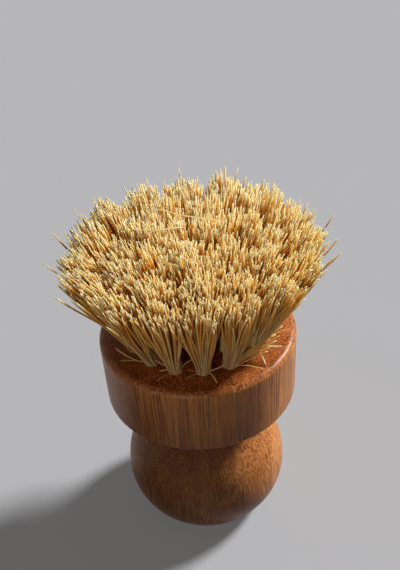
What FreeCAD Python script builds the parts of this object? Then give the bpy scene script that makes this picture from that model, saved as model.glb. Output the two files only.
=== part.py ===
"""Palm-held dish brush: a turned bamboo body whose head carries rings of fibre tufts.

Millimetres, +Z up. The origin is the centre of the flat base that the brush stands on.
The body is turned from a blank of glued bamboo strips, which stand side by side along X.
Each tuft is folded over a flat wire anchor at the bottom of its own blind hole, leans away from
the centre of the head and spreads to the flat plane at which the crown is trimmed.
"""

import FreeCAD, Part
import math
import os

from FreeCAD import Vector

# Turned body
BASE_RADIUS = 15.7  # flat ring that the brush stands on
KNOB_RADIUS = 23.4
KNOB_BELLY_HEIGHT = 14.8  # widest ring of the knob above the base
NECK_RADIUS = 13.0
NECK_COVE_RADIUS = 6.0  # hollow between the knob and the underside of the head
GRIP_HEIGHT = 44.4  # base to the underside of the head
HEAD_HEIGHT = 20.6
HEAD_RADIUS = 27.0  # at the face that carries the tufts
HEAD_TAPER = 0.3  # how much less the radius is at the underside
FACE_ROUNDING = 1.8
FOOT_ROUNDING = 0.9
BASE_ROUNDING = 1.0
STRIP_WIDTH = 9.0  # from one glue line of the blank to the next
STRIP_COUNT = 6  # side by side, the outer ones as wide as the turning leaves them

# Tuft holes
HOLE_RADIUS = 2.0
HOLE_DEPTH = 8.0  # along the hole, to the drill's shoulder
DRILL_POINT_ANGLE = 118.0  # degrees, across the point
RING_WALL = 2.05  # wood left between one ring of holes and the next
HOLE_WALL = 3.1  # wood left between the holes of one ring, as near as whole tufts allow
RIM_WIDTH = 5.0  # least wood between the outer holes and the side of the head
SPLAY_DEPTH = 40.0  # below the face, the point that every hole's axis runs through

# Tufts
TRIM_HEIGHT = 26.7  # face of the head to the trimmed top of the crown
TUFT_GAP = 0.9  # between the shoulders of neighbouring tufts
TUFT_CORNER = 1.0  # rounding of a tuft's outline at its top
CROWN_DROP = 2.0  # top of a tuft down to its shoulder
CROWN_INSET = 2.0  # how far a tuft draws in from its shoulder to its top
CROWN_STEPS = 2  # flats that round a tuft over, from its shoulder to its top
TUFT_CLEARANCE = 0.05  # tuft to the wall of its hole

# Anchors
ANCHOR_THICKNESS = 0.4
ANCHOR_HEIGHT = 1.8
ANCHOR_LIFT = 0.6  # drill's shoulder to the lower edge of the anchor
ANCHOR_BITE = 0.3  # how far each end stands in the wood

# Values that follow from these
FACE_HEIGHT = GRIP_HEIGHT + HEAD_HEIGHT
WAIST_HEIGHT = GRIP_HEIGHT - NECK_COVE_RADIUS  # narrowest ring of the neck
HEAD_FOOT_RADIUS = HEAD_RADIUS - HEAD_TAPER
RING_STEP = 2 * HOLE_RADIUS + RING_WALL
RING_COUNT = int((HEAD_RADIUS - RIM_WIDTH - HOLE_RADIUS) / RING_STEP)
TUFT_PITCH = 2 * HOLE_RADIUS + HOLE_WALL
TUFT_RADIUS = HOLE_RADIUS - TUFT_CLEARANCE
DRILL_SLOPE = math.radians(90 - DRILL_POINT_ANGLE / 2)  # of the drill point, below level
RING_NAMES = ["inner", "middle", "outer"]

ORIGIN = Vector(0, 0, 0)
UP = Vector(0, 0, 1)


def arc(start, middle, end):
    """Edge of the circular arc through three points."""
    return Part.Arc(start, middle, end).toShape()


def line(start, end):
    """Straight edge between two points."""
    return Part.LineSegment(start, end).toShape()


def on_circle(centre, radius, angle):
    """Point of a circle in the XZ plane, its angle in radians from +X towards +Z."""
    return centre + Vector(radius * math.cos(angle), 0, radius * math.sin(angle))


def arc_about(centre, radius, start_angle, end_angle):
    """Arc of a circle in the XZ plane between two angles."""
    angles = (start_angle, (start_angle + end_angle) / 2, end_angle)
    return arc(*[on_circle(centre, radius, angle) for angle in angles])


def knob_outline():
    """Outline of the base, knob and neck, from the axis up to the underside of the head.

    The lower knob arc runs from the base to the belly, where it stands upright. The upper arc
    carries on from there, and its radius is the one that meets the cove of the neck smoothly.
    """
    inset = KNOB_RADIUS - BASE_RADIUS
    lower_radius = (inset**2 + KNOB_BELLY_HEIGHT**2) / (2 * inset)
    lower_centre = Vector(KNOB_RADIUS - lower_radius, 0, KNOB_BELLY_HEIGHT)
    base_angle = -math.asin(KNOB_BELLY_HEIGHT / lower_radius)

    cove = Vector(NECK_RADIUS + NECK_COVE_RADIUS, 0, WAIST_HEIGHT)
    across = cove.x - KNOB_RADIUS
    above = cove.z - KNOB_BELLY_HEIGHT
    reach = across**2 + above**2 - NECK_COVE_RADIUS**2
    upper_radius = reach / (2 * (NECK_COVE_RADIUS - across))
    upper_centre = Vector(KNOB_RADIUS - upper_radius, 0, KNOB_BELLY_HEIGHT)
    meeting_angle = math.atan2(above, cove.x - upper_centre.x)

    base_edge = on_circle(lower_centre, lower_radius, base_angle)
    return [
        line(ORIGIN, base_edge),
        arc_about(lower_centre, lower_radius, base_angle, 0),
        arc_about(upper_centre, upper_radius, 0, meeting_angle),
        arc_about(cove, NECK_COVE_RADIUS, math.pi + meeting_angle, math.pi / 2),
    ]


def head_outline():
    """Outline of the head, from the top of the neck's cove back to the axis."""
    corners = [
        Vector(NECK_RADIUS + NECK_COVE_RADIUS, 0, GRIP_HEIGHT),
        Vector(HEAD_FOOT_RADIUS, 0, GRIP_HEIGHT),
        Vector(HEAD_RADIUS, 0, FACE_HEIGHT),
        Vector(0, 0, FACE_HEIGHT),
        ORIGIN,
    ]
    return [line(start, end) for start, end in zip(corners, corners[1:])]


def rounded_rim(solid, radius, height, rounding):
    """The solid with its round edge of this radius at this height rounded off."""
    rim = [
        edge
        for edge in solid.Edges
        if edge.Curve.TypeId == "Part::GeomCircle"
        and math.isclose(edge.Curve.Radius, radius, abs_tol=1e-4)
        and math.isclose(edge.Curve.Center.z, height, abs_tol=1e-4)
        and math.isclose(abs(edge.Curve.Axis.z), 1, abs_tol=1e-6)
    ]
    return solid.makeFillet(rounding, rim)


def turned_body():
    """The body as it comes off the lathe, before drilling."""
    outline = Part.Wire(knob_outline() + head_outline())
    solid = Part.Face(outline).revolve(ORIGIN, UP, 360)
    solid = rounded_rim(solid, HEAD_RADIUS, FACE_HEIGHT, FACE_ROUNDING)
    solid = rounded_rim(solid, HEAD_FOOT_RADIUS, GRIP_HEIGHT, FOOT_ROUNDING)
    return rounded_rim(solid, BASE_RADIUS, 0, BASE_ROUNDING)


def bamboo_strips(body):
    """Name and solid of each strip of the body, from -X to +X.

    The turning cuts an outer strip in two at the waist, and its pieces stay glued to the head and
    to the knob.
    """
    reach = max(HEAD_RADIUS, KNOB_RADIUS)
    glue_lines = [(index - STRIP_COUNT / 2) * STRIP_WIDTH for index in range(1, STRIP_COUNT)]
    sides = [-reach, *glue_lines, reach]
    strips = []
    for index, (left, right) in enumerate(zip(sides, sides[1:])):
        slab = Part.makeBox(right - left, 2 * reach, FACE_HEIGHT, Vector(left, -reach, 0))
        for solid in body.common(slab).Solids:
            box = solid.optimalBoundingBox(False)
            place = ""
            if box.ZMin > WAIST_HEIGHT:
                place = "_head"
            elif box.ZMax < WAIST_HEIGHT:
                place = "_knob"
            strips.append((f"bamboo_strip_{index + 1}{place}", solid))
    return strips


def tuft_places():
    """Name, ring radius and angle of each tuft, with the number of tufts in its ring.

    The first tuft of each ring stands at the front, on -Y. Radius 0 is the tuft at the centre.
    """
    places = [("tuft_centre", 0, 0, 1)]
    for ring in range(1, RING_COUNT + 1):
        radius = ring * RING_STEP
        count = round(2 * math.pi * radius / TUFT_PITCH)
        place_name = RING_NAMES[ring - 1] if ring <= len(RING_NAMES) else f"ring{ring}"
        for index in range(count):
            angle = 360 * index / count - 90
            places.append((f"tuft_{place_name}_{index + 1:02d}", radius, angle, count))
    return places


def into_hole(shape, radius, angle):
    """Move a shape made about the Z axis, with the face at z = 0, to the hole at this place."""
    lean = math.degrees(math.atan2(radius, SPLAY_DEPTH))
    shape.rotate(ORIGIN, Vector(0, 1, 0), lean)
    shape.translate(Vector(radius, 0, FACE_HEIGHT))
    shape.rotate(ORIGIN, UP, angle)
    return shape


def hole_tool(radius):
    """The drill's path for a hole of this ring, standing on its axis with its mouth above z = 0."""
    point_depth = HOLE_RADIUS * math.tan(DRILL_SLOPE)
    overshoot = HOLE_RADIUS * radius / SPLAY_DEPTH + HOLE_RADIUS
    corners = [
        Vector(0, 0, -HOLE_DEPTH - point_depth),
        Vector(HOLE_RADIUS, 0, -HOLE_DEPTH),
        Vector(HOLE_RADIUS, 0, overshoot),
        Vector(0, 0, overshoot),
    ]
    return Part.Face(Part.makePolygon(corners + corners[:1])).revolve(ORIGIN, UP, 360)


def anchor_blade(clearance=0.0):
    """The anchor on the hole's axis, its length along Y, grown on its flat sides by a clearance."""
    length = 2 * (HOLE_RADIUS + ANCHOR_BITE)
    thickness = ANCHOR_THICKNESS + 2 * clearance
    height = ANCHOR_HEIGHT + 2 * clearance
    corner = Vector(-thickness / 2, -length / 2, -HOLE_DEPTH + ANCHOR_LIFT - clearance)
    return Part.makeBox(thickness, length, height, corner)


def tuft_shank(collar):
    """The part of a tuft inside its hole, up to collar above z = 0.

    At the lower end the folded fibres bulge into the drill point, starting along its slope.
    """
    fold_radius = TUFT_RADIUS / math.sin(DRILL_SLOPE)
    fold_centre = Vector(0, 0, -HOLE_DEPTH + fold_radius * math.cos(DRILL_SLOPE))
    down = -math.pi / 2
    fold = on_circle(fold_centre, fold_radius, down)
    shoulder = on_circle(fold_centre, fold_radius, down + DRILL_SLOPE)
    rim = Vector(TUFT_RADIUS, 0, collar)
    axis_top = Vector(0, 0, collar)
    outline = [
        arc_about(fold_centre, fold_radius, down, down + DRILL_SLOPE),
        line(shoulder, rim),
        line(rim, axis_top),
        line(axis_top, fold),
    ]
    shank = Part.Face(Part.Wire(outline)).revolve(ORIGIN, UP, 360)
    return shank.cut(anchor_blade(TUFT_CLEARANCE))


def crown_levels():
    """Height above the face and inset of each outline of a tuft's crown, from its shoulder to its top.

    The outlines lie on a quarter ellipse, so the tuft is rounded over all round.
    """
    levels = []
    for step in range(CROWN_STEPS + 1):
        turn = math.pi / 2 * step / CROWN_STEPS
        height = TRIM_HEIGHT - CROWN_DROP * (1 - math.sin(turn))
        levels.append((height, CROWN_INSET * (1 - math.cos(turn))))
    return levels


def cell_reach(radius, height, inset):
    """Inner and outer radius of a tuft's cell, which is its ring's share of the crown at this height."""
    spread = 1 + height / SPLAY_DEPTH
    margin = TUFT_GAP / 2 + inset
    return (radius - RING_STEP / 2) * spread + margin, (radius + RING_STEP / 2) * spread - margin


def rounded_cell(radius, count, height, inset):
    """Corner points and arc middles of a tuft's outline at this height, for a tuft on +X.

    The cell is bounded by two circles and by the two straight lines half way to its neighbours,
    drawn in by half the gap and the inset, with rounded corners. The points run from the outer
    right corner anticlockwise, each corner as its start, middle and end.
    """
    margin = TUFT_GAP / 2 + inset
    rounding = TUFT_CORNER + CROWN_INSET - inset
    inner, outer = cell_reach(radius, height, inset)
    half_angle = math.pi / count
    side = margin + rounding

    def corner(ring_radius, centre_radius):
        """Points where one rounded corner leaves its circle, turns, and meets the straight side."""
        along = math.sqrt(centre_radius**2 - side**2)
        turn = half_angle - math.asin(side / centre_radius)
        centre = Vector(centre_radius * math.cos(turn), centre_radius * math.sin(turn), 0)
        on_ring = centre * (ring_radius / centre_radius)
        on_side = Vector(
            along * math.cos(half_angle) + margin * math.sin(half_angle),
            along * math.sin(half_angle) - margin * math.cos(half_angle),
            0,
        )
        outwards = (on_ring + on_side) / 2 - centre
        return [on_ring, centre + outwards.normalize() * rounding, on_side]

    outer_corner = corner(outer, outer - rounding)
    inner_corner = corner(inner, inner + rounding)[::-1]

    def mirrored(points):
        return [Vector(point.x, -point.y, 0) for point in reversed(points)]

    corners = [outer_corner, inner_corner, mirrored(inner_corner), mirrored(outer_corner)]
    return corners, inner, outer


def cell_wire(radius, count, height, inset):
    """Outline of a tuft at this height, and the direction of each of its points from its middle."""
    corners, inner, outer = rounded_cell(radius, count, height, inset)
    lift = Vector(0, 0, height)
    first, second, third, fourth = [[point + lift for point in corner] for corner in corners]
    edges = [
        arc(*first),
        line(first[2], second[0]),
        arc(*second),
        arc(second[2], Vector(inner, 0, height), third[0]),
        arc(*third),
        line(third[2], fourth[0]),
        arc(*fourth),
        arc(fourth[2], Vector(outer, 0, height), first[0]),
    ]
    middle = (inner + outer) / 2
    ends = [first[0], first[2], second[0], second[2], third[0], third[2], fourth[0], fourth[2]]
    directions = [math.atan2(point.y, point.x - middle) for point in ends]
    return Part.Wire(edges), directions


def collar_wire(radius, collar, directions):
    """The tuft's round outline just above the face, split at these directions, square to its lean."""
    turns = directions + [directions[0] + 2 * math.pi]
    for index in range(1, len(turns)):
        while turns[index] < turns[index - 1]:
            turns[index] += 2 * math.pi

    def point(turn):
        return Vector(TUFT_RADIUS * math.cos(turn), TUFT_RADIUS * math.sin(turn), collar)

    edges = [
        arc(point(start), point((start + end) / 2), point(end))
        for start, end in zip(turns, turns[1:])
    ]
    wire = Part.Wire(edges)
    wire.rotate(ORIGIN, Vector(0, 1, 0), math.degrees(math.atan2(radius, SPLAY_DEPTH)))
    wire.translate(Vector(radius, 0, 0))
    return wire


def spread_fibres(radius, count, collar):
    """The free part of a tuft, from its collar to the trim plane, for a tuft on +X."""
    levels = crown_levels()
    if radius == 0:
        rims = [Vector(cell_reach(0, height, inset)[1], 0, height) for height, inset in levels]
        foot = [Vector(0, 0, collar), Vector(TUFT_RADIUS, 0, collar)]
        corners = [*foot, *rims, Vector(0, 0, TRIM_HEIGHT), foot[0]]
        return Part.Face(Part.makePolygon(corners)).revolve(ORIGIN, UP, 360)
    outlines = [cell_wire(radius, count, height, inset) for height, inset in levels]
    directions = outlines[0][1]
    wires = [wire for wire, _ in outlines]
    return Part.makeLoft([collar_wire(radius, collar, directions), *wires], True, True)


def tuft(radius, angle, count):
    """One tuft: the folded shank in its hole and the free fibres above it."""
    collar = TUFT_RADIUS * radius / SPLAY_DEPTH + TUFT_CLEARANCE
    free = spread_fibres(radius, count, collar)
    free.translate(Vector(0, 0, FACE_HEIGHT))
    free.rotate(ORIGIN, UP, angle)
    return into_hole(tuft_shank(collar), radius, angle).fuse(free)


def write(name, shape):
    """Write one node."""
    shape.exportStep(f"parts/{name}.step")


def main():
    os.makedirs("parts", exist_ok=True)
    places = tuft_places()
    anchors = [into_hole(anchor_blade(), radius, angle) for _, radius, angle, _ in places]
    holes = [into_hole(hole_tool(radius), radius, angle) for _, radius, angle, _ in places]
    for name, solid in bamboo_strips(turned_body().cut(holes + anchors)):
        write(name, solid)
    write("tuft_anchors", Part.makeCompound(anchors))
    for name, radius, angle, count in places:
        write(name, tuft(radius, angle, count))


main()
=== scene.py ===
"""Looks of the palm dish brush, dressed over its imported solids.

Metres, +Z up, origin at the centre of the flat base. The bamboo strips and the wire anchors keep
their solids and get their finish here. Each tuft's solid is replaced by a bundle of fibres that
runs from the fold at the bottom of its hole to the trimmed top of the crown.
"""

import math
from collections import namedtuple

import bpy
import numpy as np
from mathutils import Matrix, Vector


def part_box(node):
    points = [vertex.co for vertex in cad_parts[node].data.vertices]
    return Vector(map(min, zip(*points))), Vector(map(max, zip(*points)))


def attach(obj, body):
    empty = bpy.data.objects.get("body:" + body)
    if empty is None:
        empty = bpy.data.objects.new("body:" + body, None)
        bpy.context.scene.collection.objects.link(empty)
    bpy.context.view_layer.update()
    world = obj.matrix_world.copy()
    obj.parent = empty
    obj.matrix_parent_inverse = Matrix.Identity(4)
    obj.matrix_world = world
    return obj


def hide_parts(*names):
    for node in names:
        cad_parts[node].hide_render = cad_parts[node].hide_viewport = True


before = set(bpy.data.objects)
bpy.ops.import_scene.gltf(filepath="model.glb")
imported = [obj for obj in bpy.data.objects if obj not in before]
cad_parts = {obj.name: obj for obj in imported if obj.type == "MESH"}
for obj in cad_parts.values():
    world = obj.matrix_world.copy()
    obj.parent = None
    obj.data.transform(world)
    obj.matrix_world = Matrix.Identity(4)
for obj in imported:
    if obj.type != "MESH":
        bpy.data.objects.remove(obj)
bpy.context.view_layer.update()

# Nodes
ANCHORS = "tuft_anchors"
TUFTS = sorted(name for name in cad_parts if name.startswith("tuft_") and name != ANCHORS)
MIDDLE_STRIP = "bamboo_strip_4"  # one of the two in the middle, which reach the face whole

# Holes in the head, as drilled
RING_STEP = 0.00605  # from one ring of holes to the next
HOLE_RADIUS = 0.002
HOLE_DEPTH = 0.008
SPLAY_DEPTH = 0.040  # below the face, the point that every hole's axis runs through
RINGS = {"centre": 0, "inner": 1, "middle": 2, "outer": 3}  # ring number by its name in the nodes
FRONT_ANGLE = -math.pi / 2  # each ring starts at its front tuft

# Sizes read from the solids
STRIP_LOW, STRIP_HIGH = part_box(MIDDLE_STRIP)
STRIP_WIDTH = STRIP_HIGH.x - STRIP_LOW.x
FACE_HEIGHT = STRIP_HIGH.z
TRIM_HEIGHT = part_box("tuft_centre")[1].z
SPREAD = 1 + (TRIM_HEIGHT - FACE_HEIGHT) / SPLAY_DEPTH  # growth of the rings from the face to the top

# Fibres of a tuft
FIBRES_PER_TUFT = 158
FIBRE_RADIUS = 0.000232
FIBRE_RADIUS_SPREAD = 0.00004
FIBRE_SIDES = 6
END_QUADS = [[0, 1, 2, 3], [3, 4, 5, 0]]  # points of an end ring that its two closing quads join
FIBRE_STATIONS = np.array([0, 0.17, 0.34, 0.5, 0.66, 0.8, 0.92, 1])  # rings along the free length
NEAR_Y = 0.8  # Y share of a fibre's first direction from which its rings are set by X, not by Y
TAPER_START = 0.9  # share of the free length where a fibre starts to narrow to its tip
TIP_TAPER = 0.6  # radius at the tip beside the radius below it
SQUEEZE = 0.6  # radius in the hole, where the fibres are packed, beside the radius at the tip
SKIN_CROWDING = 0.45  # 0.5 spaces the fibres of a tuft evenly, less crowds them to its outside
GOLDEN_ANGLE = math.pi * (3 - math.sqrt(5))
CROWN_HANDLES = (0.3, 0.4)  # reach of a curve's first and last handle, as shares of its length
BOW = (0.0012, 0.0012, 0.00024)  # along X, Y and Z
SHORT_SHARE = 0.14  # of a tuft's fibres that end below the trimmed top
SHORT_DROP = 0.0018
SHORT_LIMIT = 0.4  # most that they lose, as a share of their length

# Top of a tuft
TUFT_GAP = 0.0005  # between neighbouring tufts
CELL_ROUNDNESS = 3.0  # exponent of a tuft's outline: 2 is an ellipse, more is squarer
SHOULDER_DROP = 0.0018  # how far the edge of a tuft lies below its middle
SHOULDER_SHARPNESS = 5  # exponent of that drop: more keeps it nearer to the edge
LOCKS = 14  # bunches that a tuft's tips draw together into
LOCK_PULL = 0.25  # share of the way that a tip is drawn to the leading tip of its lock
LOCK_UNEVENNESS = 0.0007
TUFT_WANDER = 0.0006
TIP_WANDER = 0.0007
TIP_UNEVENNESS = 0.0007
SCATTER_LIMIT = 2  # most that a draw leaves the middle, in standard deviations
TIP_HEIGHT_LIMIT = 2.5
CROWN_WAVES = ((0.0071, 0.4, 0.0), (0.0093, 1.7, 1.1), (0.0126, 2.6, 2.3))  # length, heading, phase
CROWN_WAVE_HEIGHT = 0.00022
FRONT_PINCH = 0.11  # how much nearer to the axis the front of the crown is, as a share
PINCH_SHARPNESS = 4  # exponent of the pinch: more keeps it nearer to the front
FLYAWAY_SHARE = 0.08  # of a tuft's fibres that stand away from it
FLYAWAY_WANDER = 0.0021
FLYAWAY_RISE = 0.0010
FLYAWAY_LEAN = 0.09  # most that they lean out, as a share of their distance from the brush's axis

# Fibres that stand off the foot of each outer tuft
STRAYS_PER_TUFT = 2
STRAY_PLACE = 0.95  # share of the way from the middle of the hole to its wall
STRAY_FAN = 0.6 * math.pi  # to each side of outwards
STRAY_LENGTH = (0.005, 0.012)
STRAY_TILT = (0.25, 0.75)  # radians away from the tuft's axis
STRAY_CURL = 1.3  # tilt at the end beside the tilt of the whole
STRAY_HANDLES = (0.3, 0.35)
STRAY_THINNESS = 0.55  # radius beside that of the other fibres
STRAY_TONE = (0.5, 1.0)

# Fibres that have worked loose: the tuft that holds each, and the points that it runs through
LOOSE_FIBRES = (
    ("tuft_outer_08", [(-0.0094, 0.0206, 0.0905), (-0.0092, 0.0162, 0.0934), (-0.0061, 0.0132, 0.0944),
                       (-0.0020, 0.0099, 0.0946), (0.0032, 0.0080, 0.0944), (0.0092, 0.0067, 0.0934)]),
    ("tuft_middle_05", [(-0.0142, 0.0114, 0.0906), (-0.0137, 0.0069, 0.0932), (-0.0092, 0.0044, 0.0943),
                        (-0.0066, 0.0039, 0.0945), (-0.0034, 0.0044, 0.0944), (-0.0018, 0.0054, 0.0936)]),
    ("tuft_outer_15", [(-0.0160, -0.0135, 0.0661), (-0.0193, -0.0116, 0.0667), (-0.0223, -0.0086, 0.0672)]),
    ("tuft_outer_16", [(-0.0089, -0.0176, 0.0660), (-0.0112, -0.0179, 0.0661)]),
    ("tuft_outer_16", [(-0.0098, -0.0158, 0.0660), (-0.0125, -0.0145, 0.0675), (-0.0134, -0.0152, 0.0702)]),
    ("tuft_outer_01", [(0.0016, -0.0196, 0.0660), (0.0061, -0.0189, 0.0671), (0.0097, -0.0190, 0.0690)]),
    ("tuft_outer_01", [(0.0018, -0.0204, 0.0657), (0.0031, -0.0236, 0.0654)]),
    ("tuft_outer_02", [(0.0110, -0.0170, 0.0674), (0.0150, -0.0158, 0.0688), (0.0208, -0.0153, 0.0681)]),
    ("tuft_outer_03", [(0.0143, -0.0146, 0.0672), (0.0153, -0.0166, 0.0668), (0.0161, -0.0188, 0.0654)]),
)
LOOSE_STATIONS = 36
LOOSE_THINNESS = 0.9

# Bunch that leans out over the rim from one tuft at the front right
BUNCH_TUFT = "tuft_outer_02"
BUNCH_COUNT = 11
BUNCH_PLACE = (0.6, 0.95)  # shares of the way from the middle of the hole to its wall
BUNCH_FAN = (-0.4 * math.pi, 0.6 * math.pi)  # bearings from outwards
BUNCH_END = (0.0178, -0.0148, 0.0712)
BUNCH_SCATTER = 0.0016
BUNCH_HANDLES = (0.2, 0.4)
BUNCH_TONE = (0.4, 1.0)

# level and across are the two directions square to a hole's axis. level points away from the
# brush's axis. along is the share of its fibre's length at each station.
Hole = namedtuple("Hole", "ring_radius angle count mouth axis level across")
Fibres = namedtuple("Fibres", "paths radii tone along")


def unit(vectors):
    """Vectors scaled to length 1 along their last axis."""
    return vectors / np.linalg.norm(vectors, axis=-1, keepdims=True)


def scatter(rng, shape, limit=SCATTER_LIMIT):
    """Normal draws about 0, cut off at a number of standard deviations."""
    return rng.standard_normal(shape).clip(-limit, limit)


def bezier(start, leave, arrive, end, t):
    """Points of cubic curves, one for each row of the four control points.

    The weights of the control points are the terms of the cube of (1 - t) + t. t is a row of
    stations for all the curves alike, or has a row for each.
    """
    start, leave, arrive, end = (np.asarray(point)[:, None] for point in (start, leave, arrive, end))
    t = t[..., None]
    rest = 1 - t
    return rest**3 * start + 3 * t * rest**2 * leave + 3 * t**2 * rest * arrive + t**3 * end


def curve_through(points, stations):
    """Evenly stepped points of cubic pieces through the points.

    The parameter grows by the square root of each chord, and the slope at each point is that of the
    parabola through it and its neighbours.
    """
    points = np.asarray(points)
    chords = np.linalg.norm(np.diff(points, axis=0), axis=1)
    knots = np.concatenate([[0.0], np.cumsum(np.sqrt(chords))])
    slopes = np.gradient(points, knots, axis=0)
    steps = np.linspace(0, knots[-1], stations)
    piece = (np.searchsorted(knots, steps, side="right") - 1).clip(0, len(points) - 2)
    width = (knots[piece + 1] - knots[piece])[:, None]
    t = (steps - knots[piece])[:, None] / width
    return (
        (2 * t**3 - 3 * t**2 + 1) * points[piece]
        + (t**3 - 2 * t**2 + t) * width * slopes[piece]
        + (3 * t**2 - 2 * t**3) * points[piece + 1]
        + (t**3 - t**2) * width * slopes[piece + 1]
    )


def tubes(paths, radii):
    """Vertices and quads of closed tubes, one for each path, and whether each quad is smooth.

    paths is fibres by stations by 3, and radii is fibres by stations. Each station carries a ring
    of points: the centre plus the radius times cosine of one normal and sine of the other. Rings
    are joined by quads, and each end is closed by two flat quads.
    """
    fibres, stations, _ = paths.shape
    tangents = unit(np.gradient(paths, axis=1))
    aside = np.where(np.abs(tangents[:, :1, 1:2]) < NEAR_Y, [0.0, 1.0, 0.0], [1.0, 0.0, 0.0])
    first = unit(np.cross(aside, tangents))
    second = np.cross(tangents, first)
    turn = np.arange(FIBRE_SIDES) * 2 * math.pi / FIBRE_SIDES
    ring = np.cos(turn)[:, None] * first[:, :, None] + np.sin(turn)[:, None] * second[:, :, None]
    vertices = (paths[:, :, None] + radii[:, :, None, None] * ring).reshape(-1, 3)

    index = np.arange(fibres * stations * FIBRE_SIDES).reshape(fibres, stations, FIBRE_SIDES)
    ahead = np.roll(index, -1, axis=2)
    sides = np.stack([index[:, :-1], ahead[:, :-1], ahead[:, 1:], index[:, 1:]], axis=-1).reshape(-1, 4)
    roots = index[:, 0][:, END_QUADS][..., ::-1].reshape(-1, 4)
    tips = index[:, -1][:, END_QUADS].reshape(-1, 4)
    quads = np.concatenate([sides, roots, tips])
    return vertices, quads, np.arange(len(quads)) < len(sides)


def fibre_mesh(name, groups):
    """Mesh of groups of fibres, with each fibre's tone and each point's share of its fibre's length."""
    vertices, quads, smooth, tone, along = [], [], [], [], []
    for group in groups:
        points, faces, rounded = tubes(group.paths, group.radii)
        quads.append(faces + sum(len(part) for part in vertices))
        vertices.append(points)
        smooth.append(rounded)
        tone.append(np.repeat(group.tone, group.radii.shape[1] * FIBRE_SIDES))
        along.append(np.repeat(group.along.ravel(), FIBRE_SIDES))
    mesh = bpy.data.meshes.new(name)
    mesh.from_pydata(np.concatenate(vertices), [], np.concatenate(quads))
    mesh.polygons.foreach_set("use_smooth", np.concatenate(smooth))
    for label, values in (("tone", tone), ("along", along)):
        attribute = mesh.attributes.new(label, "FLOAT", "POINT")
        attribute.data.foreach_set("value", np.concatenate(values).astype(np.float32))
    mesh.update()
    return mesh


def hole_of(node):
    """Hole that a tuft stands in, from the ring and number in its name."""
    _, ring, *number = node.split("_")
    count = sum(other.startswith(f"tuft_{ring}") for other in TUFTS)
    before = int(number[0]) - 1 if number else 0
    ring_radius = RINGS[ring] * RING_STEP
    angle = FRONT_ANGLE + before * 2 * math.pi / count
    outward = np.array([math.cos(angle), math.sin(angle), 0.0])
    across = np.array([-math.sin(angle), math.cos(angle), 0.0])
    axis = unit(outward * ring_radius + [0, 0, SPLAY_DEPTH])
    mouth = outward * ring_radius + [0, 0, FACE_HEIGHT]
    return Hole(ring_radius, angle, count, mouth, axis, np.cross(across, axis), across)


def sideways(hole, bearing):
    """Directions square to the hole's axis, at these bearings from outwards."""
    return np.cos(bearing)[:, None] * hole.level + np.sin(bearing)[:, None] * hole.across


def in_hole(hole, share, bearing):
    """Places in the hole's mouth, share of the way to its wall at this bearing from outwards."""
    reach = (HOLE_RADIUS - SQUEEZE * FIBRE_RADIUS) * share
    return hole.mouth + reach[:, None] * sideways(hole, bearing)


def from_fold(hole, start, free, radius, tone, steps=FIBRE_STATIONS):
    """Whole fibres: the free paths with a first station at the fold, below their start in the mouth.

    The radius grows evenly from the hole, and falls again over the last stretch to the tip.
    """
    fold = (start - hole.axis * HOLE_DEPTH)[:, None]
    paths = np.concatenate([fold, free], axis=1)
    growth = SQUEEZE + (1 - SQUEEZE) * steps
    point = np.interp(steps, [TAPER_START, 1], [1, TIP_TAPER])
    taper = np.concatenate([[SQUEEZE], growth * point])
    along = np.broadcast_to(np.concatenate([[0.0], steps]), paths.shape[:2])
    return Fibres(paths, radius[:, None] * taper, tone, along)


def tip_places(hole, share, bearing):
    """Tips over the head: the disc of fibres in the hole spread over the tuft's cell of the crown.

    The disc is squared towards the cell's corners by a superellipse. Its two sides then become the
    distance from the brush's axis and the angle about it, and the front of the crown is pinched in.
    """
    square = np.abs(np.cos(bearing)) ** CELL_ROUNDNESS + np.abs(np.sin(bearing)) ** CELL_ROUNDNESS
    reach = share / square ** (1 / CELL_ROUNDNESS)
    half_step = (RING_STEP * SPREAD - TUFT_GAP) / 2
    if hole.ring_radius == 0:
        distance = share * half_step
        turn = bearing
    else:
        middle = hole.ring_radius * SPREAD
        distance = middle + half_step * reach * np.cos(bearing)
        turn = hole.angle + (math.pi / hole.count - TUFT_GAP / 2 / middle) * reach * np.sin(bearing)
    frontness = (1 - np.sin(turn)) / 2
    distance = distance * (1 - FRONT_PINCH * frontness**PINCH_SHARPNESS)
    return np.stack([distance * np.cos(turn), distance * np.sin(turn)], axis=-1)


def draw_into_locks(tips, rng):
    """Tips drawn together into locks.

    Each moves part of the way to the nearest of a few leading tips, and each lock stands a little
    higher or lower than the others.
    """
    leaders = tips[rng.choice(len(tips), LOCKS, replace=False)]
    apart = np.linalg.norm(tips[:, None, :2] - leaders[None, :, :2], axis=-1)
    lock = apart.argmin(axis=1)
    drawn = tips + LOCK_PULL * (leaders[lock] - tips)
    drawn[:, 2] = tips[:, 2] + LOCK_UNEVENNESS * rng.standard_normal(LOCKS)[lock]
    return drawn


def crown_height(places):
    """Height of the trimmed top, which rolls a little in three crossing waves."""
    rise = sum(
        np.sin(2 * math.pi / length * (places[:, 0] * math.cos(way) + places[:, 1] * math.sin(way)) + phase)
        for length, way, phase in CROWN_WAVES
    )
    return TRIM_HEIGHT + CROWN_WAVE_HEIGHT * rise


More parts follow.
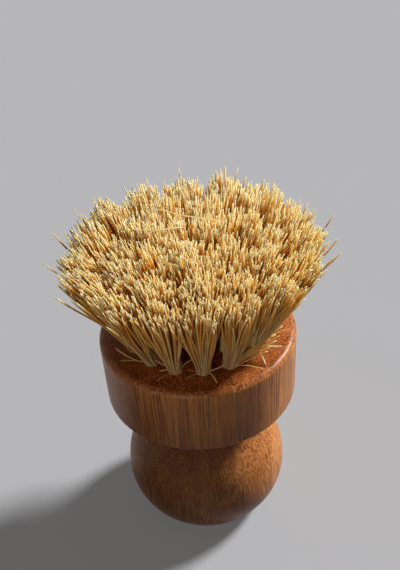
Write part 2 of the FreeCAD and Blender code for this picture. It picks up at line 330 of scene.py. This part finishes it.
def crown_tips(hole, share, bearing, rng):
    """Tips on the trimmed top, which falls away towards the edge of each tuft.

    The height is that of the top less a power of the share of the way to the edge. The tips are
    drawn into locks and scattered, and a few flyaways are scattered further, rise and lean out.
    """
    count = len(share)
    tips = np.empty((count, 3))
    tips[:, :2] = tip_places(hole, share, bearing) + TUFT_WANDER * rng.standard_normal(2)
    tips[:, 2] = crown_height(tips) - SHOULDER_DROP * share**SHOULDER_SHARPNESS
    tips = draw_into_locks(tips, rng)
    away = rng.random(count) < FLYAWAY_SHARE
    wander = np.where(away, FLYAWAY_WANDER, TIP_WANDER)
    tips[:, :2] += wander[:, None] * scatter(rng, (count, 2))
    tips[:, 2] += TIP_UNEVENNESS * scatter(rng, count, TIP_HEIGHT_LIMIT)
    tips[:, 2] += away * FLYAWAY_RISE * rng.random(count)
    tips[:, :2] *= 1 + (away * FLYAWAY_LEAN * rng.random(count))[:, None]
    return tips


def crown_fibres(hole, rng):
    """The fibres that reach the crown.

    They stand in the hole on a sunflower spiral. Each leaves along the hole's axis and follows a
    cubic curve with a small bow to its own tip, and some end short of it.
    """
    count = FIBRES_PER_TUFT
    order = np.arange(count)
    share = ((order + 0.5) / count) ** SKIN_CROWDING
    bearing = order * GOLDEN_ANGLE + rng.uniform(0, 2 * math.pi)
    radius = FIBRE_RADIUS + FIBRE_RADIUS_SPREAD * scatter(rng, count)
    start = in_hole(hole, share, bearing)
    tips = crown_tips(hole, share, bearing, rng)

    chord = tips - start
    length = np.linalg.norm(chord, axis=1)
    leave = start + CROWN_HANDLES[0] * length[:, None] * hole.axis
    arrive = tips - CROWN_HANDLES[1] * chord + rng.standard_normal((count, 3)) * BOW
    drop = np.where(rng.random(count) < SHORT_SHARE, SHORT_DROP * rng.exponential(1, count), 0)
    reach = 1 - drop.clip(0, SHORT_LIMIT * length) / length
    free = bezier(start, leave, arrive, tips, FIBRE_STATIONS * reach[:, None])
    return from_fold(hole, start, free, radius, tone=rng.random(count))


def stray_fibres(hole, rng):
    """Thin fibres that bend away near the foot of a tuft, outwards and to both sides.

    Each is a cubic curve that leaves along the hole's axis and tilts further over towards its end.
    """
    count = STRAYS_PER_TUFT
    bearing = rng.uniform(-STRAY_FAN, STRAY_FAN, count)
    start = in_hole(hole, np.full(count, STRAY_PLACE), bearing)
    tilt = rng.uniform(*STRAY_TILT, count)[:, None]
    length = rng.uniform(*STRAY_LENGTH, count)[:, None]
    aside = sideways(hole, bearing)
    end = start + length * (np.cos(tilt) * hole.axis + np.sin(tilt) * aside)
    end_tilt = STRAY_CURL * tilt
    leave = start + STRAY_HANDLES[0] * length * hole.axis
    arrive = end - STRAY_HANDLES[1] * length * (np.cos(end_tilt) * hole.axis + np.sin(end_tilt) * aside)
    free = bezier(start, leave, arrive, end, FIBRE_STATIONS)
    radius = np.full(count, FIBRE_RADIUS * STRAY_THINNESS)
    return from_fold(hole, start, free, radius, tone=rng.uniform(*STRAY_TONE, count))


def loose_fibre(hole, points):
    """One thin fibre that leaves the hole and runs through these points, cream along its whole length like
    a tip, which is partly a painted highlight.
    """
    start = hole.mouth[None]
    free = curve_through([hole.mouth, *points], LOOSE_STATIONS)[None]
    radius = np.full(1, FIBRE_RADIUS * LOOSE_THINNESS)
    fibre = from_fold(hole, start, free, radius, np.ones(1), np.linspace(0, 1, LOOSE_STATIONS))
    # Every point counts as tip, so the whole fibre takes the cut's cream and its painted highlight.
    return fibre._replace(along=np.ones_like(fibre.along))


def leaning_bunch(hole, rng):
    """Fibres of one tuft that lean out together, as cubic curves from the hole to a scatter of ends."""
    count = BUNCH_COUNT
    bearing = rng.uniform(*BUNCH_FAN, count)
    start = in_hole(hole, rng.uniform(*BUNCH_PLACE, count), bearing)
    end = np.array(BUNCH_END) + BUNCH_SCATTER * scatter(rng, (count, 3))
    chord = end - start
    leave = start + BUNCH_HANDLES[0] * np.linalg.norm(chord, axis=1, keepdims=True) * hole.axis
    arrive = end - BUNCH_HANDLES[1] * chord
    free = bezier(start, leave, arrive, end, FIBRE_STATIONS)
    radius = np.full(count, FIBRE_RADIUS)
    return from_fold(hole, start, free, radius, tone=rng.uniform(*BUNCH_TONE, count))


def tuft_groups(node, rng):
    """All the fibres of one tuft."""
    hole = hole_of(node)
    groups = [crown_fibres(hole, rng)]
    if node.startswith("tuft_outer"):
        groups.append(stray_fibres(hole, rng))
    if node == BUNCH_TUFT:
        groups.append(leaning_bunch(hole, rng))
    groups += [loose_fibre(hole, points) for holder, points in LOOSE_FIBRES if holder == node]
    return groups


class Shader:
    """Node tree of a material or a world, with short calls that add nodes and link them."""

    MIX_INPUTS = (0, 6, 7)  # places of a colour mix's amount and two colours among its sockets
    MIX_OUTPUT = 2

    def __init__(self, owner, surface="Principled BSDF"):
        owner.use_nodes = True
        self.owner = owner
        self.tree = owner.node_tree
        self.surface = self.tree.nodes[surface]

    def feed(self, socket, value):
        """Link an output to a socket, or set the socket to a plain value."""
        if isinstance(value, bpy.types.NodeSocket):
            self.tree.links.new(value, socket)
        else:
            socket.default_value = value

    def add(self, kind, inputs=None, **settings):
        """A node of this kind with its settings and inputs."""
        made = self.tree.nodes.new(kind)
        for key, value in settings.items():
            setattr(made, key, value)
        for key, value in (inputs or {}).items():
            self.feed(made.inputs[key], value)
        return made

    def math(self, operation, first, second=0.0, third=0.0):
        """One arithmetic step on numbers."""
        made = self.add("ShaderNodeMath", {0: first, 1: second, 2: third}, operation=operation)
        return made.outputs[0]

    def vector(self, operation, first, second, third=(0.0, 0.0, 0.0)):
        """One arithmetic step on vectors."""
        made = self.add("ShaderNodeVectorMath", {0: first, 1: second, 2: third}, operation=operation)
        return made.outputs[0]

    def blend(self, amount, first, second, kind="MIX"):
        """Mix of two colours."""
        inputs = dict(zip(self.MIX_INPUTS, (amount, first, second)))
        made = self.add("ShaderNodeMix", inputs, data_type="RGBA", blend_type=kind)
        return made.outputs[self.MIX_OUTPUT]

    def ease(self, value, between, give=(0.0, 1.0)):
        """Smooth step of a number, which gives the first value below the range and the second above it."""
        low, high = between
        start, end = give
        made = self.add(
            "ShaderNodeMapRange",
            {"Value": value, "From Min": low, "From Max": high, "To Min": start, "To Max": end},
            interpolation_type="SMOOTHSTEP",
        )
        return made.outputs["Result"]

    def clouds(self, place, scale, detail=2.0, roughness=0.5):
        """Cloudy noise at a place, with this many clouds to the metre."""
        inputs = {"Vector": place, "Scale": scale, "Detail": detail, "Roughness": roughness}
        return self.add("ShaderNodeTexNoise", inputs).outputs

    def seen(self):
        """1 on a ray from the camera, also by way of a gloss or glass, and 0 on light that is thrown on."""
        ray = self.add("ShaderNodeLightPath").outputs
        mirrored = self.math("ADD", ray["Is Glossy Ray"], ray["Is Transmission Ray"])
        return self.math("MINIMUM", self.math("ADD", ray["Is Camera Ray"], mirrored), 1.0)

    def finish(self, **inputs):
        """Feed the surface's sockets, named with underscores for spaces, and return the owner."""
        for key, value in inputs.items():
            self.feed(self.surface.inputs[key.replace("_", " ")], value)
        return self.owner


# Bamboo
PITH_DARK = (0.450, 0.145, 0.033, 1)
PITH_LIGHT = (0.800, 0.380, 0.125, 1)
STRIP_TINT = (0.370, 0.115, 0.025, 1)
STRIP_TINTING = 0.4  # most of the tint that a whole strip takes
BAND_TINTING = 0.45  # most of it that a band of the grain takes
STRIP_SEED = 57.0
STRIP_SHIFT = (0.1, 0.1, 0.0)  # most that a strip's grain is moved, so that no two are alike
END_GRAIN = (0.78, 0.60, 0.46, 1)  # multiplies the colour where the strips are cut across
END_GRAIN_SLOPE = (0.35, 0.95)  # upright share of the normal over which a surface turns to end grain
END_GRAIN_SPREAD = 0.10  # how much wider the bundles show there, as a share of their spacing
BUNDLE_DARK = (0.130, 0.032, 0.007, 1)
BUNDLES_PER_METRE = 1150.0
BUNDLE_SCATTER = 0.85  # 0 sets them in rows, 1 at random
BUNDLE_SIZE = (0.08, 0.27)  # radius where they are few and where they crowd, as a share of their spacing
BUNDLE_EDGE = (-0.07, 0.08)  # over which they fade into the pith, counted from that radius
BUNDLE_DEPTH = (0.72, 0.92)  # how dark they are along the grain and on end grain
BUNDLE_SINK = -0.7  # how far they lie below the streaks of the pith
CROWDING_CLOUDS = 260.0
CROWDING_RANGE = (0.34, 0.66)  # of the clouds, from few bundles to many
SWAY_CLOUDS = 110.0
GRAIN_SWAY = (0.0010, 0.0040)  # of a straight strip and of a wavy one
WAVY_RANGE = (0.6, 0.9)  # of the draw for each strip, from straight to wavy
CLOUD_MIDDLE = (0.5, 0.5, 0.5)
BAND_CLOUDS = 330.0
BAND_RANGE = (0.42, 0.68)
STREAK_CLOUDS = 1700.0
STREAK_RANGE = (0.36, 0.64)  # from dark pith to light
STREAK_DETAIL = 4.0
STREAK_ROUGHNESS = 0.62
CLOUD_STRETCH = (1.0, 1.0, 0.3)  # less along Z draws a pattern out up the grain
STREAK_STRETCH = (1.0, 1.0, 0.03)
GLUE = (0.150, 0.050, 0.015, 1)
GLUE_DEPTH = 0.55
GLUE_LINE = 0.00012  # half width
GLUE_EDGE = (0.3, 1.0)  # shares of it over which the line fades


def bamboo():
    """Caramel bamboo, oiled to a satin.

    Upright bundles of dark fibre stand in paler pith, as cells of a plane pattern that runs straight
    up the grain, so they show as dots where the surface is level and as lines where it is upright.
    Each strip has its own tone and its own sway of the grain, and thin glue lines part the strips.
    """
    s = Shader(bpy.data.materials.new("bamboo"))
    coordinates = s.add("ShaderNodeTexCoord")
    place = coordinates.outputs["Object"]
    across = s.add("ShaderNodeSeparateXYZ", {0: place}).outputs["X"]
    facing = s.add("ShaderNodeSeparateXYZ", {0: coordinates.outputs["Normal"]}).outputs["Z"]
    end_grain = s.ease(s.math("ABSOLUTE", facing), END_GRAIN_SLOPE)
    strip = s.math("FLOOR", s.math("MULTIPLY", across, 1 / STRIP_WIDTH))
    dice = s.add("ShaderNodeTexWhiteNoise", {"W": s.math("ADD", strip, STRIP_SEED)}, noise_dimensions="1D")

    stretched = s.vector("MULTIPLY", place, CLOUD_STRETCH)
    drift = s.vector("SUBTRACT", s.clouds(stretched, SWAY_CLOUDS)["Color"], CLOUD_MIDDLE)
    sway = s.ease(dice.outputs["Value"], WAVY_RANGE, GRAIN_SWAY)
    swayed = s.vector("MULTIPLY_ADD", drift, sway, place)
    own = s.vector("ADD", swayed, s.vector("MULTIPLY", dice.outputs["Color"], STRIP_SHIFT))

    bundles = s.add(
        "ShaderNodeTexVoronoi",
        {"Vector": own, "Scale": BUNDLES_PER_METRE, "Randomness": BUNDLE_SCATTER},
        voronoi_dimensions="2D",
    )
    crowded = s.ease(s.clouds(stretched, CROWDING_CLOUDS)["Fac"], CROWDING_RANGE, BUNDLE_SIZE)
    size = s.math("MULTIPLY_ADD", end_grain, END_GRAIN_SPREAD, crowded)
    dark = s.ease(s.math("SUBTRACT", bundles.outputs["Distance"], size), BUNDLE_EDGE, (1.0, 0.0))

    drawn_out = s.vector("MULTIPLY", own, STREAK_STRETCH)
    streaks = s.clouds(drawn_out, STREAK_CLOUDS, STREAK_DETAIL, STREAK_ROUGHNESS)["Fac"]
    pith = s.blend(s.ease(streaks, STREAK_RANGE), PITH_DARK, PITH_LIGHT)
    bands = s.ease(s.clouds(drawn_out, BAND_CLOUDS)["Fac"], BAND_RANGE, (0.0, BAND_TINTING))
    banded = s.blend(bands, pith, STRIP_TINT)
    toned = s.blend(s.math("MULTIPLY", dice.outputs["Value"], STRIP_TINTING), banded, STRIP_TINT)
    cut = s.blend(end_grain, toned, s.blend(1.0, toned, END_GRAIN, "MULTIPLY"))
    depth = s.math("MULTIPLY", dark, s.ease(end_grain, (0.0, 1.0), BUNDLE_DEPTH))
    grained = s.blend(depth, cut, BUNDLE_DARK)
    off_line = s.math("MULTIPLY", s.math("PINGPONG", across, STRIP_WIDTH / 2), 1 / GLUE_LINE)
    colour = s.blend(s.ease(off_line, GLUE_EDGE, (GLUE_DEPTH, 0.0)), grained, GLUE)

    height = s.math("MULTIPLY_ADD", dark, BUNDLE_SINK, streaks)
    bump = s.add("ShaderNodeBump", {"Strength": 0.4, "Distance": 0.00005, "Height": height})
    return s.finish(
        Base_Color=colour,
        Roughness=s.ease(streaks, (0.2, 0.8), (0.36, 0.52)),
        Normal=bump.outputs["Normal"],
        Specular_IOR_Level=0.1,
        Coat_Weight=0.4,
        Coat_Roughness=0.36,
    )


# Plant fibre
FIBRE_BROWN = (0.720, 0.325, 0.065, 1)
FIBRE_STRAW = (0.900, 0.435, 0.090, 1)
FIBRE_PALE = (0.965, 0.660, 0.250, 1)
STRAW_TONES = (0.0, 0.35)  # from brown to straw
PALE_TONES = (0.3, 1.0)  # from straw to pale
FIBRE_AMBER = (0.860, 0.410, 0.055, 1)
PATCH_CLOUDS = 130.0  # amber over several fibres
PATCH_RANGE = (0.48, 0.66)
PATCH_DEPTH = 0.6
STAIN_CLOUDS = 420.0  # amber on a short stretch of a fibre
STAIN_RANGE = (0.4, 0.7)
STAIN_DEPTH = 0.35
ROOT_DARK = (0.640, 0.355, 0.145, 1)
ROOT_LIGHT = (1.000, 0.740, 0.420, 1)
ROOT_TONES = (0.1, 0.8)  # from the dark root to the light one
ROOT_REACH = (0.1, 0.9)  # shares of a fibre's length over which the root's colour fades
ROOT_DEPTH = 0.8
# Cream of the fibre tips: partly the cut ends' own colour, partly a painted highlight where the tips catch
# the light.
FIBRE_CUT_AND_HIGHLIGHT = (0.945, 0.770, 0.450, 1)
CUT_HIGHLIGHT_REACH = (0.90, 0.99)  # shares of a fibre's length over which the cut's cream and painted highlight grow
CUT_HIGHLIGHT_DEPTH = 0.9


def plant_fibre():
    """Straw fibre: each with its own tone, more beige towards the hole and cream at the tip, partly the cut
    end's own colour and partly a painted highlight.
    """
    s = Shader(bpy.data.materials.new("plant_fibre"))
    tone = s.add("ShaderNodeAttribute", attribute_name="tone").outputs["Fac"]
    along = s.add("ShaderNodeAttribute", attribute_name="along").outputs["Fac"]
    place = s.add("ShaderNodeTexCoord").outputs["Object"]
    mottle = s.clouds(place, STAIN_CLOUDS)["Fac"]
    patch = s.clouds(place, PATCH_CLOUDS)["Fac"]
    ripe = s.blend(s.ease(tone, STRAW_TONES), FIBRE_BROWN, FIBRE_STRAW)
    straw = s.blend(s.ease(tone, PALE_TONES), ripe, FIBRE_PALE)
    amber = s.blend(s.ease(patch, PATCH_RANGE, (0.0, PATCH_DEPTH)), straw, FIBRE_AMBER)
    stained = s.blend(s.ease(mottle, STAIN_RANGE, (0.0, STAIN_DEPTH)), amber, FIBRE_AMBER)
    root = s.blend(s.ease(tone, ROOT_TONES), ROOT_DARK, ROOT_LIGHT)
    rising = s.blend(s.ease(along, ROOT_REACH, (ROOT_DEPTH, 0.0)), stained, root)
    # Painted highlight: the last stretch of each fibre turns cream, partly the cut end's own colour.
    colour = s.blend(s.ease(along, CUT_HIGHLIGHT_REACH, (0.0, CUT_HIGHLIGHT_DEPTH)), rising, FIBRE_CUT_AND_HIGHLIGHT)
    bump = s.add("ShaderNodeBump", {"Strength": 0.2, "Distance": 0.00003, "Height": mottle})
    return s.finish(
        Base_Color=colour,
        Roughness=s.ease(mottle, (0.3, 0.7), (0.42, 0.6)),
        Normal=bump.outputs["Normal"],
        Specular_IOR_Level=0.2,
        Subsurface_Weight=0.85,
        Subsurface_Radius=(1.0, 0.8, 0.5),
        Subsurface_Scale=0.0009,
    )


# Anchor wire
WIRE_DULL = (0.42, 0.42, 0.41, 1)
WIRE_BRIGHT = (0.62, 0.62, 0.60, 1)
WIRE_CLOUDS = 3000.0
WIRE_STRETCH = (1.0, 0.1, 1.0)


def anchor_wire():
    """Drawn flat steel wire, a little dull."""
    s = Shader(bpy.data.materials.new("anchor_wire"))
    place = s.add("ShaderNodeTexCoord").outputs["Object"]
    drawn = s.clouds(s.vector("MULTIPLY", place, WIRE_STRETCH), WIRE_CLOUDS)["Fac"]
    colour = s.blend(drawn, WIRE_DULL, WIRE_BRIGHT)
    return s.finish(Base_Color=colour, Metallic=1.0, Roughness=s.ease(drawn, (0.2, 0.8), (0.3, 0.5)))


# Floor and room
FLOOR_DULL = (0.365, 0.382, 0.424, 1)
FLOOR_CLEAR = (0.385, 0.402, 0.444, 1)
FLOOR_CLOUDS = 6.0
FLOOR_BOUNCE = (0.035, 0.018, 0.009, 1)  # what the floor throws back at the brush
FLOOR_GLOW = 0.09  # keeps the shadow on the floor pale
FLOOR_REACH = 8.0  # from its middle to each side
BACKDROP = (0.474, 0.473, 0.484, 1)
ROOM_LIGHT = (0.090, 0.080, 0.070, 1)


def pale_floor():
    """Plain pale floor with the faintest mottle, which throws only a little warm light back."""
    s = Shader(bpy.data.materials.new("pale_floor"))
    place = s.add("ShaderNodeTexCoord").outputs["Object"]
    pale = s.blend(s.clouds(place, FLOOR_CLOUDS)["Fac"], FLOOR_DULL, FLOOR_CLEAR)
    seen = s.seen()
    return s.finish(
        Base_Color=s.blend(seen, FLOOR_BOUNCE, pale),
        Roughness=0.8,
        Specular_IOR_Level=0.0,
        Emission_Color=(1, 1, 1, 1),
        Emission_Strength=s.math("MULTIPLY", seen, FLOOR_GLOW),
    )


def even_room():
    """World that looks like the floor goes on, and lights the brush a little from all round."""
    s = Shader(bpy.data.worlds.new("room"), "Background")
    return s.finish(Color=s.blend(s.seen(), ROOM_LIGHT, BACKDROP))


def dress_solids():
    """Give the strips and the anchors, which keep their solids, their finishes."""
    wood = bamboo()
    wire = anchor_wire()
    for name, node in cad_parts.items():
        if name not in TUFTS:
            node.data.materials.clear()
            node.data.materials.append(wire if name == ANCHORS else wood)


def add_tufts():
    """One bundle of fibres for each tuft's solid."""
    fibre = plant_fibre()
    for seed, node in enumerate(TUFTS):
        mesh = fibre_mesh(f"{node}_fibres", tuft_groups(node, np.random.default_rng(seed)))
        mesh.materials.append(fibre)
        piece = bpy.data.objects.new(f"{node}_fibres", mesh)
        bpy.context.scene.collection.objects.link(piece)
        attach(piece, "root")
        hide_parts(node)


# Camera, as the photograph was taken
IMAGE_HEIGHT = 570  # pixels
FOCAL_PIXELS = 850
SENSOR = 36.0
CLIP_START = 0.01
CAMERA_PITCH = math.radians(37.1)
CAMERA_ROLL = math.radians(-3.85)
CAMERA_TURN = math.radians(-2.56)  # about the brush's axis, from straight in front of its front tuft
CAMERA_DISTANCE = 0.27127  # to the plane through the centre of the base
CAMERA_RIGHT = -0.00276
CAMERA_UP = 0.06277


def placed(right, up, back, place):
    """Matrix of an object with these axes at this place."""
    axes = np.stack([right, up, back, place], axis=1).tolist()
    return Matrix([*axes, [0, 0, 0, 1]])


def add_camera():
    """Camera at the photograph's angle, distance and framing."""
    ahead = np.array([0.0, math.cos(CAMERA_PITCH), -math.sin(CAMERA_PITCH)])
    level = np.array([1.0, 0.0, 0.0])
    upright = np.cross(level, ahead)
    right = math.cos(CAMERA_ROLL) * level + math.sin(CAMERA_ROLL) * upright
    up = math.cos(CAMERA_ROLL) * upright - math.sin(CAMERA_ROLL) * level
    place = right * CAMERA_RIGHT + up * CAMERA_UP - ahead * CAMERA_DISTANCE
    data = bpy.data.cameras.new("camera")
    data.sensor_width = SENSOR
    data.lens = SENSOR * FOCAL_PIXELS / IMAGE_HEIGHT
    data.clip_start = CLIP_START
    camera = bpy.data.objects.new("camera", data)
    camera.matrix_world = Matrix.Rotation(CAMERA_TURN, 4, "Z") @ placed(right, up, -ahead, place)
    bpy.context.scene.collection.objects.link(camera)
    bpy.context.scene.camera = camera


def add_floor():
    """Wide flat floor under the base."""
    corners = FLOOR_REACH * np.array([(-1, -1, 0), (1, -1, 0), (1, 1, 0), (-1, 1, 0)])
    mesh = bpy.data.meshes.new("floor")
    mesh.from_pydata(corners, [], [(0, 1, 2, 3)])
    mesh.materials.append(pale_floor())
    floor = bpy.data.objects.new("floor", mesh)
    bpy.context.scene.collection.objects.link(floor)


# Lights
LIGHT_DISTANCE = 0.9
KEY_TINT = (1.0, 0.96, 0.90)
FILL_TINT = (1.0, 0.86, 0.71)


def add_light(name, kind, bearing, rise, strength, tint, **shape):
    """Light aimed at the top of the crown.

    bearing is from the back towards +X, and rise is from level, both in degrees.
    """
    data = bpy.data.lights.new(name, kind)
    data.energy = strength
    data.color = tint
    for key, value in shape.items():
        setattr(data, key, value)
    light = bpy.data.objects.new(name, data)
    light.visible_camera = False
    aim = np.array([0.0, 0.0, TRIM_HEIGHT])
    turn = math.radians(bearing)
    lift = math.radians(rise)
    back = np.array([math.sin(turn) * math.cos(lift), math.cos(turn) * math.cos(lift), math.sin(lift)])
    right = unit(np.cross([0.0, 0.0, 1.0], back))
    light.matrix_world = placed(right, np.cross(back, right), back, aim + back * LIGHT_DISTANCE)
    bpy.context.scene.collection.objects.link(light)


def add_studio():
    """Soft key from behind on the right, a weak low fill in front on the left, and an even room."""
    add_light("key", "SUN", bearing=64, rise=37, strength=4.8, tint=KEY_TINT, angle=math.radians(12))
    cone = {"spot_size": math.radians(6), "spot_blend": 1.0, "shadow_soft_size": 0.025}
    add_light("fill", "SPOT", bearing=200, rise=9, strength=9.5, tint=FILL_TINT, **cone)
    bpy.context.scene.world = even_room()
    bpy.context.scene.view_settings.view_transform = "Standard"


dress_solids()
add_tufts()
add_camera()
add_floor()
add_studio()
